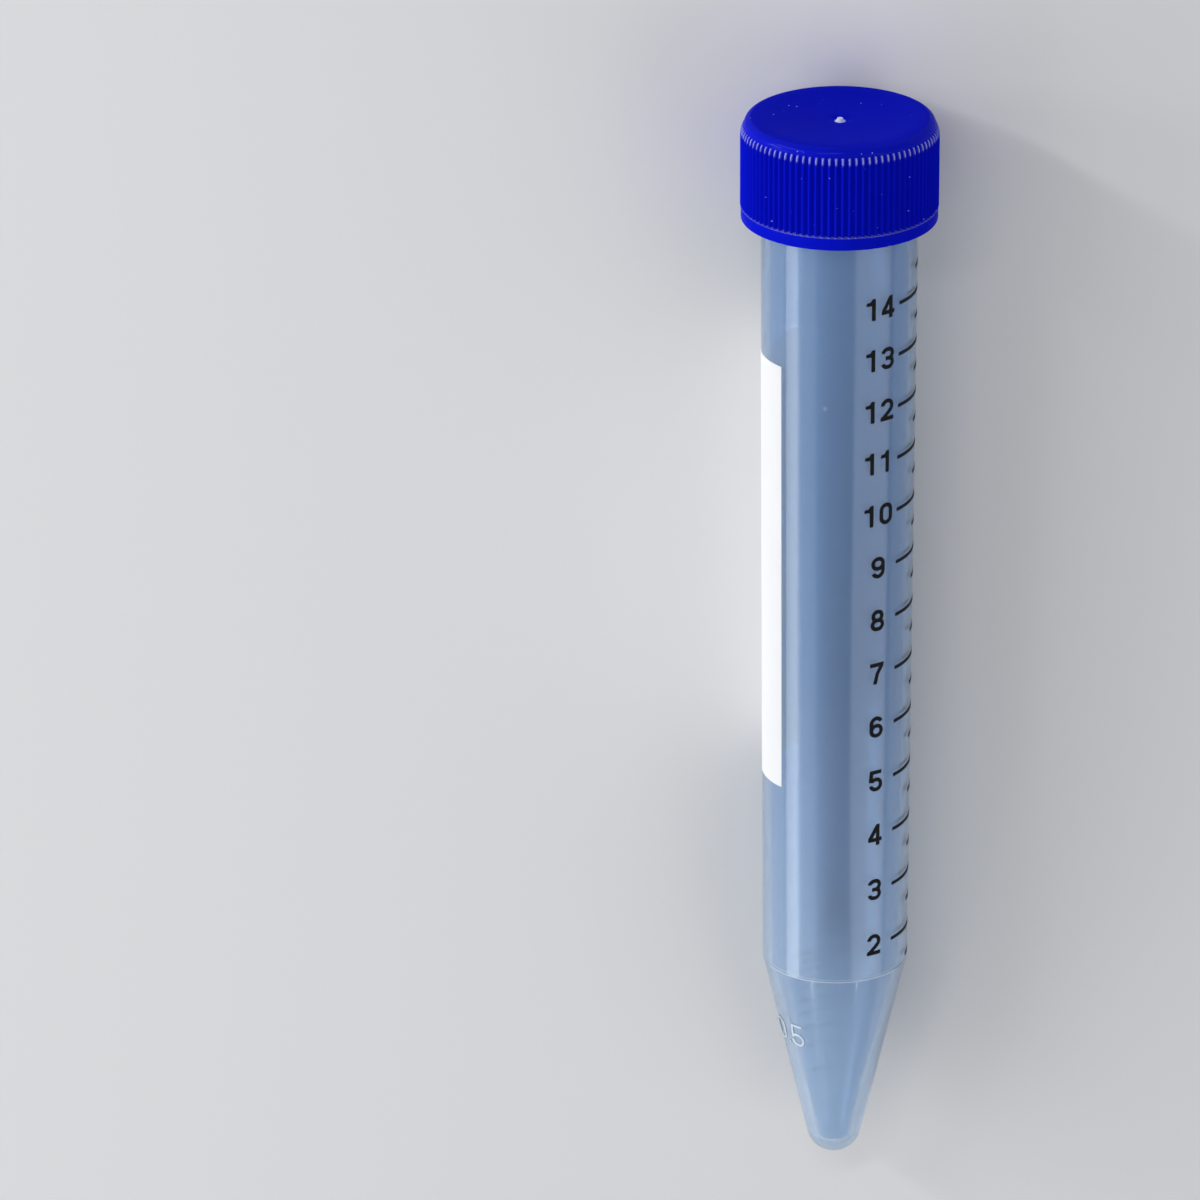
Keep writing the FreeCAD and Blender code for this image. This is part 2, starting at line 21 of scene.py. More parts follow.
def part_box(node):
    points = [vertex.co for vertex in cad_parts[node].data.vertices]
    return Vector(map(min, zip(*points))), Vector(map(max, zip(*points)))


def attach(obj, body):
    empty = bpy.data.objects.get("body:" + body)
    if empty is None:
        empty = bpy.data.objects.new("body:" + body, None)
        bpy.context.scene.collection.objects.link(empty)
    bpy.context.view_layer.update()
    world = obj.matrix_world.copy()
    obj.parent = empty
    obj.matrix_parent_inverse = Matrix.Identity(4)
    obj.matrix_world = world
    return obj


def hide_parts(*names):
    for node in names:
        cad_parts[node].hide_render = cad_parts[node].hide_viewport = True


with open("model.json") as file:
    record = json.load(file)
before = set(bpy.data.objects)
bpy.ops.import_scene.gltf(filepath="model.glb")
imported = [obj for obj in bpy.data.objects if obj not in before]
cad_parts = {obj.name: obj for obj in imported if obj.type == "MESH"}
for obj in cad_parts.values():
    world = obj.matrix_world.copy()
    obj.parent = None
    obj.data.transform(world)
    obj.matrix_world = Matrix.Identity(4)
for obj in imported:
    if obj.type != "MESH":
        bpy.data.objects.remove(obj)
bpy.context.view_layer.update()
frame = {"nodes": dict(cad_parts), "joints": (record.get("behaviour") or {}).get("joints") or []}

LOG = logging.getLogger("conical_tube")

TubePoint = tuple[float, float]
Reshape = Callable[[float, float, float], TubePoint]
Share = Callable[[float, float, float], float]


class Body(Enum):
    """The two bodies that the joint moves apart."""

    TUBE = "tube_body"
    CAP = "cap_body"


class Slot(Enum):
    """The record's material slots, whose names the finishes take."""

    CLEAR = "clear_polypropylene"
    BLUE = "blue_cap_plastic"
    WHITE = "white_ink"
    BLACK = "black_ink"


# ---------------------------------------------------------------- shared sizes


@dataclass(frozen=True)
class TubeSizes:
    """Sizes of the tube that more than one piece depends on."""

    length: float = 0.1188
    shoulder_height: float = 0.0237
    shoulder_radius: float = 0.00782
    mouth_radius: float = 0.00833
    tip_radius: float = 0.003
    bore_shoulder_radius: float = 0.00692
    bore_mouth_radius: float = 0.00755
    bore_tip_radius: float = 0.001
    bore_flat_radius: float = 0.0007
    floor_thickness: float = 0.00175

    def body_radius(self, height: float) -> float:
        """Outside radius of the tapered body at a height."""
        share = (height - self.shoulder_height) / (self.length - self.shoulder_height)
        return self.shoulder_radius + share * (self.mouth_radius - self.shoulder_radius)

    def bore_radius(self, height: float) -> float:
        """Inside radius of the body at a height above the shoulder."""
        share = (height - self.shoulder_height) / (self.length - self.shoulder_height)
        return self.bore_shoulder_radius + share * (self.bore_mouth_radius - self.bore_shoulder_radius)


SIZES = TubeSizes()


class LyingAxis:
    """The tube's axis as it lies in the row frame, and places measured round it."""

    def __init__(self, sizes: TubeSizes) -> None:
        """Finds the axis.

        Args:
            sizes: the tube's sizes, whose shoulder edge rests on the floor.
        """
        lift = Vector(frame["joints"][0]["axis"]).normalized()
        self.along = lift
        self.side = Vector((0.0, -1.0, 0.0))
        self.up = self.side.cross(self.along).normalized()
        tilt = math.atan2(lift.z, lift.x)
        tip_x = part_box("tube")[0].x + sizes.tip_radius * (1.0 - math.cos(tilt))
        tip_z = sizes.shoulder_radius * math.cos(tilt) - sizes.shoulder_height * math.sin(tilt)
        self.tip = Vector((tip_x, 0.0, tip_z))

    def at(self, radius: float, height: float, angle: float) -> Vector:
        """A place in the row frame.

        Args:
            radius: distance from the axis.
            height: distance along the axis from the tip.
            angle: degrees round the axis.

        Returns:
            The place as a vector.
        """
        turn = math.radians(angle)
        spoke = self.up * math.cos(turn) + self.side * math.sin(turn)
        return self.tip + self.along * height + spoke * radius

    def matrix(self) -> Matrix:
        """The axis as a 4 by 4 matrix from tube coordinates to the row frame."""
        turned = Matrix((self.up, self.side, self.along)).transposed().to_4x4()
        return Matrix.Translation(self.tip) @ turned


AXIS = LyingAxis(SIZES)


# ---------------------------------------------------------------- mesh helpers

# Edges that bend by more degrees than this stay sharp.
SHARP_ANGLE = 38.0
# A point closer to the axis than this lies on it.
ON_AXIS = 1e-7
# Lengths that differ by less than this are the same but for rounding.
ROUNDING = 1e-6


def is_same(first: float, second: float) -> bool:
    """Whether two lengths are the same but for rounding."""
    return abs(first - second) < ROUNDING


def arc_points(
    centre: TubePoint, radius: float, start: float, end: float, steps: int
) -> list[TubePoint]:
    """Points of an arc in the half section.

    Args:
        centre: radius and height of the arc's centre.
        radius: the arc's own radius.
        start: first angle in degrees, from outwards towards the cap.
        end: last angle in degrees.
        steps: how many pieces the arc is divided into.

    Returns:
        The points as radius and height pairs.
    """
    points = []
    for index in range(steps + 1):
        turn = math.radians(start + (end - start) * index / steps)
        points.append((centre[0] + radius * math.cos(turn), centre[1] + radius * math.sin(turn)))
    return points


def rounded_corner(
    before: TubePoint, corner: TubePoint, after: TubePoint, radius: float, steps: int = 5
) -> list[TubePoint]:
    """Replaces a corner of the half section by a small tangent arc.

    Args:
        before: the point ahead of the corner.
        corner: the corner itself.
        after: the point behind the corner.
        radius: the arc's radius.
        steps: how many pieces the arc is divided into.

    Returns:
        The arc's points.
    """
    c = Vector(corner)
    into = (Vector(before) - c).normalized()
    out = (Vector(after) - c).normalized()
    half = into.angle(out) / 2.0
    reach = radius / math.tan(half)
    first, last = c + into * reach, c + out * reach
    middle = c + (into + out).normalized() * (radius / math.sin(half))
    points = []
    for index in range(steps + 1):
        share = index / steps
        spoke = ((first - middle) * (1.0 - share) + (last - middle) * share).normalized()
        points.append(tuple(middle + spoke * radius))
    return points


def subdivided(start: TubePoint, end: TubePoint, heights: list[float]) -> list[TubePoint]:
    """Points on a straight run of the half section at chosen heights.

    Args:
        start: first end of the run.
        end: other end of the run.
        heights: heights strictly inside the run, in its direction.

    Returns:
        The points between the two ends, without them.
    """
    span = end[1] - start[1]
    return [
        (start[0] + (end[0] - start[0]) * (height - start[1]) / span, height) for height in heights
    ]


def lathe_mesh(
    name: str,
    rows: list[TubePoint],
    angles: list[float],
    reshape: Reshape,
    shares: dict[str, Share],
) -> bpy.types.Object:
    """Turns a half section round the tube's axis into a closed mesh.

    Args:
        name: the piece's name.
        rows: radius and height pairs from one end on the axis to the other.
        angles: ascending angles in degrees of the columns, over less than a full turn.
        reshape: moves a point, given its radius, height and angle.
        shares: numbers from 0 to 1 to store at each point for the finish, by name.

    Returns:
        The new object, smooth with its sharp edges marked.
    """
    made = bmesh.new()
    layers = [(made.verts.layers.float.new(key), share) for key, share in shares.items()]
    rings: list[list[bmesh.types.BMVert]] = []
    for radius, height in rows:
        ring = []
        for angle in angles if radius > ON_AXIS else [0.0]:
            vert = made.verts.new(AXIS.at(*reshape(radius, height, angle), angle))
            for layer, share in layers:
                vert[layer] = share(radius, height, angle)
            ring.append(vert)
        rings.append(ring)
    count = len(angles)
    for low, high in zip(rings, rings[1:]):
        for column in range(count):
            following = (column + 1) % count
            if len(low) == 1:
                made.faces.new((low[0], high[following], high[column]))
            elif len(high) == 1:
                made.faces.new((low[column], low[following], high[0]))
            else:
                made.faces.new((low[column], low[following], high[following], high[column]))
    return finished_object(made, name)


def finished_object(made: bmesh.types.BMesh, name: str) -> bpy.types.Object:
    """Turns a bmesh into a smooth object in the scene.

    Args:
        made: the mesh in progress, which is freed.
        name: the object's name.

    Returns:
        The object, linked to the scene.
    """
    mesh = bpy.data.meshes.new(name)
    made.to_mesh(mesh)
    made.free()
    mesh.polygons.foreach_set("use_smooth", [True] * len(mesh.polygons))
    mesh.set_sharp_from_angle(angle=math.radians(SHARP_ANGLE))
    piece = bpy.data.objects.new(name, mesh)
    bpy.context.scene.collection.objects.link(piece)
    return piece


def dress(piece: bpy.types.Object, material: bpy.types.Material) -> None:
    """Gives a whole piece one material."""
    piece.data.materials.clear()
    piece.data.materials.append(material)


def smooth_share(value: float) -> float:
    """A smooth step from 0 to 1 for a value clamped to that range."""
    clamped = min(max(value, 0.0), 1.0)
    return clamped * clamped * (3.0 - 2.0 * clamped)


# ---------------------------------------------------------------- reliefs


@dataclass(frozen=True)
class NeckThread:
    """The helical ridge on the neck, or its partner inside the cap."""

    pitch: float = 0.003
    turns: float = 1.6
    height: float = 0.00072
    crest_width: float = 0.00045
    flank_width: float = 0.0004
    depth: float = 0.0029
    fade_turns: float = 0.06

    @property
    def foot(self) -> float:
        """Height of the ridge's lower end."""
        return SIZES.length - self.depth - self.pitch * self.turns

    def relief(self, height: float, angle: float) -> float:
        """How far the ridge stands up at a place.

        Args:
            height: distance along the axis from the tip.
            angle: degrees round the axis.

        Returns:
            The relief in metres.
        """
        part = (angle % 360.0) / 360.0
        best = 0.0
        for whole in range(int(self.turns) + 1):
            turn = whole + part
            if turn > self.turns:
                continue
            away = abs(height - self.foot - self.pitch * turn)
            side = (self.crest_width / 2.0 + self.flank_width - away) / self.flank_width
            ends = min(turn, self.turns - turn) / self.fade_turns
            best = max(best, min(max(side, 0.0), 1.0) * smooth_share(ends))
        return best * self.height


@dataclass(frozen=True)
class Stroke:
    """One line of a moulded figure: straight, or an arc where it has a radius."""

    start: TubePoint
    end: TubePoint = (0.0, 0.0)
    radius: float = 0.0

    def distance(self, u: float, v: float) -> float:
        """Distance of a place on the flat figure from the stroke's centre line.

        Args:
            u: place to the right of the figure's centre.
            v: place above the figure's centre.

        Returns:
            The distance. An arc is centred on start, and end holds its two limits in degrees.
        """
        if self.radius > 0.0:
            du, dv = u - self.start[0], v - self.start[1]
            low, high = self.end
            bearing = low + (math.degrees(math.atan2(dv, du)) - low) % 360.0
            if bearing <= high:
                return abs(math.hypot(du, dv) - self.radius)
            ends = [
                math.hypot(
                    du - self.radius * math.cos(math.radians(limit)),
                    dv - self.radius * math.sin(math.radians(limit)),
                )
                for limit in self.end
            ]
            return min(ends)
        along = Vector(self.end) - Vector(self.start)
        reach = Vector((u, v)) - Vector(self.start)
        share = min(max(reach.dot(along) / along.length_squared, 0.0), 1.0)
        return (reach - along * share).length


@dataclass(frozen=True)
class ConeMarks:
    """The lines at each tenth of a millilitre and the figures moulded on the cone.

    The figures 0.5 stand at the height of that volume, which fill_height adds up in thin slices.
    """

    relief_height: float = 0.0001
    line_width: float = 0.00024
    edge: float = 0.00006
    tenths: int = 10
    long_every: int = 5
    tick_end: float = 230.0
    long_span: float = 61.0
    short_span: float = 51.0
    figure_height: float = 0.0027
    figure_width: float = 0.00175
    figure_angle: float = -55.0
    figure_pitch: float = 13.5
    figure_volume: float = 0.5
    bowl_share: float = 0.235
    slice_height: float = 0.00002

    def fill_height(self, millilitres: float, cone: float) -> float:
        """Height to which a small volume fills the cone of the upright tube.

        Args:
            millilitres: the volume.
            cone: half angle of the bore's cone in radians.

        Returns:
            The height above the tip.
        """
        cubic_metres = millilitres * 1e-6
        height = SIZES.floor_thickness
        filled = 0.0
        while filled < cubic_metres:
            middle = height + self.slice_height / 2.0
            radius = SIZES.bore_shoulder_radius - (SIZES.shoulder_height - middle) * math.tan(cone)
            drop = SIZES.floor_thickness + SIZES.bore_tip_radius - middle
            if drop > SIZES.bore_tip_radius * math.sin(cone):
                squared = SIZES.bore_tip_radius**2 - drop**2
                radius = SIZES.bore_flat_radius + math.sqrt(max(squared, 0.0))
            filled += math.pi * radius**2 * self.slice_height
            height += self.slice_height
        return height

    def figures(self) -> list[tuple[float, list[Stroke]]]:
        """The figures 0, point and 5 as angles round the axis and strokes."""
        side = (self.figure_width - self.line_width) / 2.0
        top = (self.figure_height - self.line_width) / 2.0
        straight = top - side
        zero = [
            Stroke((0.0, straight), (0.0, 180.0), side),
            Stroke((0.0, -straight), (180.0, 360.0), side),
            Stroke((-side, -straight), (-side, straight)),
            Stroke((side, -straight), (side, straight)),
        ]
        bowl = self.bowl_share * self.figure_height
        centre = -top + bowl
        flat = side - bowl
        corner = (-0.7 * side, top)
        stem_foot = (-0.88 * side, centre + 0.6 * bowl)
        five = [
            Stroke(corner, (0.85 * side, top)),
            Stroke(corner, stem_foot),
            Stroke((-flat, centre), (90.0, 145.0), bowl),
            Stroke((-flat, centre + bowl), (flat, centre + bowl)),
            Stroke((flat, centre), (-90.0, 90.0), bowl),
            Stroke((-flat, centre - bowl), (flat, centre - bowl)),
            Stroke((-flat, centre), (195.0, 270.0), bowl),
        ]
        dot = 0.03 * side
        point = [Stroke((-dot, -top), (dot, -top))]
        middle = self.figure_angle
        return [(middle - self.figure_pitch, zero), (middle, point), (middle + self.figure_pitch, five)]


# ---------------------------------------------------------------- shared shader groups


class Nodes:
    """Short ways to add and link nodes in one tree."""

    def __init__(self, tree: bpy.types.NodeTree) -> None:
        """Works on a tree."""
        self.tree = tree

    def add(self, kind: str, **values: object) -> bpy.types.Node:
        """Adds a node.

        Args:
            kind: the node's type name.
            values: properties of the node, or defaults of its inputs, with _ for a space.

        Returns:
            The node.
        """
        node = self.tree.nodes.new(kind)
        for name, value in values.items():
            words = name.replace("_", " ")
            if hasattr(node, name):
                setattr(node, name, value)
            else:
                node.inputs[words].default_value = value
        return node

    def link(self, source: bpy.types.NodeSocket, target: bpy.types.NodeSocket) -> None:
        """Joins an output to an input."""
        self.tree.links.new(source, target)

    def maths(
        self, operation: str, first: object, second: object, third: float = 0.0
    ) -> bpy.types.NodeSocket:
        """Adds a Math node.

        Args:
            operation: the Math node's operation.
            first: a number or an output socket.
            second: a number or an output socket.
            third: the number that MULTIPLY_ADD adds.

        Returns:
            The result's socket.
        """
        node = self.tree.nodes.new("ShaderNodeMath")
        node.operation = operation
        for place, value in enumerate((first, second, third)):
            if isinstance(value, bpy.types.NodeSocket):
                self.link(value, node.inputs[place])
            else:
                node.inputs[place].default_value = value
        return node.outputs[0]


# How much finer the skin's grain is than its patches.
GRAIN_FINENESS = 14.0
# Radius of the smallest speck of dust, and how much larger the largest is, in cells of its pattern.
SPECK_RADIUS = 0.05
SPECK_SPREAD = 0.16


def new_group(
    name: str, takes: tuple[str, ...], gives: tuple[str, ...]
) -> tuple[Nodes, bpy.types.Node, bpy.types.Node, bpy.types.NodeSocket]:
    """Starts a node group that takes and gives numbers.

    Args:
        name: the group's name.
        takes: names of the numbers that it takes.
        gives: names of the numbers that it gives.

    Returns:
        The group's nodes, its inlet, its outlet and the socket of the place on the piece.
    """
    group = bpy.data.node_groups.new(name, "ShaderNodeTree")
    for side, numbers in (("INPUT", takes), ("OUTPUT", gives)):
        for number in numbers:
            group.interface.new_socket(name=number, in_out=side, socket_type="NodeSocketFloat")
    nodes = Nodes(group)
    place = nodes.add("ShaderNodeTexCoord").outputs["Object"]
    return nodes, nodes.add("NodeGroupInput"), nodes.add("NodeGroupOutput"), place


def moulded_skin_group() -> bpy.types.NodeTree:
    """The faint unevenness of moulded plastic: a height and a share that vary slowly.

    Returns:
        The group, with Scale and Grain in, and Height and Patches out.
    """
    takes, gives = ("Scale", "Grain"), ("Height", "Patches")
    nodes, inlet, outlet, place = new_group("moulded_skin", takes, gives)
    broad = nodes.add("ShaderNodeTexNoise", Detail=3.0, Roughness=0.5)
    fine = nodes.add("ShaderNodeTexNoise", Detail=4.0, Roughness=0.6)
    nodes.link(place, broad.inputs["Vector"])
    nodes.link(place, fine.inputs["Vector"])
    nodes.link(inlet.outputs["Scale"], broad.inputs["Scale"])
    finer = nodes.maths("MULTIPLY", inlet.outputs["Scale"], GRAIN_FINENESS)
    nodes.link(finer, fine.inputs["Scale"])
    grain = nodes.maths("MULTIPLY", fine.outputs["Fac"], inlet.outputs["Grain"])
    nodes.link(nodes.maths("ADD", broad.outputs["Fac"], grain), outlet.inputs["Height"])
    nodes.link(broad.outputs["Fac"], outlet.inputs["Patches"])
    return nodes.tree


def dust_group() -> bpy.types.NodeTree:
    """Tiny pale specks of dust, few and of different sizes.

    Returns:
        The group, with Scale and Share in, and Mask out.
    """
    nodes, inlet, outlet, place = new_group("dust_specks", ("Scale", "Share"), ("Mask",))
    cells = nodes.add("ShaderNodeTexVoronoi", feature="F1")
    nodes.link(place, cells.inputs["Vector"])
    nodes.link(inlet.outputs["Scale"], cells.inputs["Scale"])
    chance = nodes.add("ShaderNodeSeparateColor")
    nodes.link(cells.outputs["Color"], chance.inputs["Color"])
    chosen = nodes.maths("LESS_THAN", chance.outputs[0], inlet.outputs["Share"])
    size = nodes.maths("MULTIPLY_ADD", chance.outputs[1], SPECK_SPREAD, SPECK_RADIUS)
    near = nodes.maths("LESS_THAN", cells.outputs["Distance"], size)
    nodes.link(nodes.maths("MULTIPLY", chosen, near), outlet.inputs["Mask"])
    return nodes.tree


@dataclass
class SharedEffects:
    """The node groups that more than one finish uses, each built once."""

    skin: bpy.types.NodeTree = field(default_factory=moulded_skin_group)
    dust: bpy.types.NodeTree = field(default_factory=dust_group)


# ---------------------------------------------------------------- finishes


def new_material(name: str) -> tuple[bpy.types.Material, Nodes, bpy.types.Node]:
    """A material with its Principled BSDF.

    Args:
        name: the material's name.

    Returns:
        The material, its nodes and its shader.
    """
    material = bpy.data.materials.new(name)
    material.use_nodes = True
    return material, Nodes(material.node_tree), material.node_tree.nodes["Principled BSDF"]


def add_group(nodes: Nodes, group: bpy.types.NodeTree, **values: float) -> bpy.types.Node:
    """Adds a shared effect to a material.

    Args:
        nodes: the material's nodes.
        group: the effect.
        values: the numbers that the effect takes, by name.

    Returns:
        The group node.
    """
    node = nodes.add("ShaderNodeGroup", node_tree=group)
    for name, value in values.items():
        node.inputs[name].default_value = value
    return node


def tinted(
    nodes: Nodes, mask: bpy.types.NodeSocket, plain: object, other: tuple[float, float, float]
) -> bpy.types.NodeSocket:
    """Mixes a second colour in where a mask is 1.

    Args:
        nodes: the material's nodes.
        mask: the share of the second colour.
        plain: the first colour, or the socket that gives it.
        other: the second colour.

    Returns:
        The mixed colour's socket.
    """
    mix = nodes.tree.nodes.new("ShaderNodeMix")
    mix.data_type = "RGBA"
    nodes.link(mask, mix.inputs[0])
    if isinstance(plain, bpy.types.NodeSocket):
        nodes.link(plain, mix.inputs[6])
    else:
        mix.inputs[6].default_value = (*plain, 1.0)
    mix.inputs[7].default_value = (*other, 1.0)
    return mix.outputs[2]


def stored_share(nodes: Nodes, name: str) -> bpy.types.NodeSocket:
    """The socket of a number that the mesh stores at each of its points."""
    return nodes.add("ShaderNodeAttribute", attribute_name=name).outputs["Fac"]


@dataclass(frozen=True)
class Skin:
    """How the moulded skin shows in one finish: its pattern, patches, roughness and relief."""

    scale: float
    grain: float
    patch_share: float
    roughness: float
    roughness_spread: float
    relief: float

    def lay(
        self, nodes: Nodes, shader: bpy.types.Node, group: bpy.types.NodeTree
    ) -> tuple[bpy.types.NodeSocket, bpy.types.NodeSocket]:
        """Varies the shader's roughness and normal with the skin.

        Args:
            nodes: the material's nodes.
            shader: the Principled BSDF.
            group: the skin's node group.

        Returns:
            The socket of the patches, and that of the share in which they tint the colour.
        """
        skin = add_group(nodes, group, Scale=self.scale, Grain=self.grain)
        patches = skin.outputs["Patches"]
        least = self.roughness - self.roughness_spread / 2.0
        rough = nodes.maths("MULTIPLY_ADD", patches, self.roughness_spread, least)
        nodes.link(rough, shader.inputs["Roughness"])
        bump = nodes.add("ShaderNodeBump", Strength=1.0, Distance=self.relief)
        nodes.link(skin.outputs["Height"], bump.inputs["Height"])
        nodes.link(bump.outputs["Normal"], shader.inputs["Normal"])
        return patches, nodes.maths("MULTIPLY", patches, self.patch_share)


@dataclass(frozen=True)
class ClearPlastic:
    """Translucent, slightly milky polypropylene."""

    name: str = Slot.CLEAR.value
    colour: tuple[float, float, float] = (0.45, 0.63, 0.88)
    milky: tuple[float, float, float] = (0.51, 0.69, 0.92)
    thick: tuple[float, float, float] = (0.67, 0.82, 1.0)
    transmission: float = 0.84
    ior: float = 1.49
    dust_colour: tuple[float, float, float] = (0.95, 0.97, 1.0)
    skin: Skin = Skin(90.0, 0.05, 0.5, 0.12, 0.08, 0.00002)

    def build(self, effects: SharedEffects) -> bpy.types.Material:
        """Makes the material.

        Args:
            effects: the shared node groups.

        Returns:
            The material.
        """
        material, nodes, shader = new_material(self.name)
        shader.inputs["Transmission Weight"].default_value = self.transmission
        shader.inputs["IOR"].default_value = self.ior
        _, milkiness = self.skin.lay(nodes, shader, effects.skin)
        dust = add_group(nodes, effects.dust, Scale=700.0, Share=0.012)
        colour = tinted(nodes, milkiness, self.colour, self.milky)
        colour = tinted(nodes, stored_share(nodes, "thick_wall"), colour, self.thick)
        colour = tinted(nodes, dust.outputs["Mask"], colour, self.dust_colour)
        nodes.link(colour, shader.inputs["Base Color"])
        return material


@dataclass(frozen=True)
class CapPlastic:
    """Deep blue moulded plastic, matt from its mould but polished at its edges, whose colour is also
    painted pale there as a highlight.
    """

    colour: tuple[float, float, float] = (0.0018, 0.005, 0.5)
    pale: tuple[float, float, float] = (0.004, 0.014, 0.7)
    # Pale colour painted on the polished edges as a highlight.
    painted_highlight: tuple[float, float, float] = (0.6, 0.63, 0.9)
    # Pale colour painted on the gate nub as a glint.
    gate_glint_colour: tuple[float, float, float] = (0.72, 0.78, 0.98)
    dust_colour: tuple[float, float, float] = (0.35, 0.42, 0.9)
    ior: float = 1.49
    gloss: float = 0.003
    polish_roughness: float = 0.14
    highlight_power: float = 3.0
    skin: Skin = Skin(160.0, 0.25, 0.35, 0.36, 0.16, 0.000012)

    def build(self, effects: SharedEffects) -> bpy.types.Material:
        """Makes the material.

        Args:
            effects: the shared node groups.

        Returns:
            The material.
        """
        material, nodes, shader = new_material(Slot.BLUE.value)
        shader.inputs["IOR"].default_value = self.ior
        shader.inputs["Specular IOR Level"].default_value = self.gloss
        shader.inputs["Coat Roughness"].default_value = self.polish_roughness
        patches, paleness = self.skin.lay(nodes, shader, effects.skin)
        dust = add_group(nodes, effects.dust, Scale=2400.0, Share=0.05)
        colour = tinted(nodes, paleness, self.colour, self.pale)
        edge = stored_share(nodes, "polish_and_painted_highlight")
        # Paints the polished edges pale in patches, as a painted highlight.
        painted_highlight_share = nodes.maths("MULTIPLY", nodes.maths("POWER", edge, self.highlight_power), patches)
        colour = tinted(nodes, painted_highlight_share, colour, self.painted_highlight)
        # Paints the gate nub pale, as a painted glint.
        colour = tinted(nodes, stored_share(nodes, "gate_painted_glint"), colour, self.gate_glint_colour)
        colour = tinted(nodes, dust.outputs["Mask"], colour, self.dust_colour)
        nodes.link(colour, shader.inputs["Base Color"])
        nodes.link(edge, shader.inputs["Coat Weight"])
        return material


@dataclass(frozen=True)
class ScreenInk:
    """A thin matt layer of screen-printed ink, into which light may sink."""

    name: str
    colour: tuple[float, float, float]
    thin: tuple[float, float, float]
    gloss: float
    sink_share: float = 0.0
    sink_depth: float = 0.0
    skin: Skin = Skin(700.0, 0.5, 0.5, 0.6, 0.2, 0.00002)

    def build(self, effects: SharedEffects) -> bpy.types.Material:
        """Makes the material.

        Args:
            effects: the shared node groups.

        Returns:
            The material.
        """
        material, nodes, shader = new_material(self.name)
        shader.inputs["Specular IOR Level"].default_value = self.gloss
        shader.inputs["Subsurface Weight"].default_value = self.sink_share
        shader.inputs["Subsurface Radius"].default_value = (1.0, 1.0, 1.0)
        shader.inputs["Subsurface Scale"].default_value = self.sink_depth
        _, thinness = self.skin.lay(nodes, shader, effects.skin)
        nodes.link(tinted(nodes, thinness, self.colour, self.thin), shader.inputs["Base Color"])
        return material


# ---------------------------------------------------------------- the tube


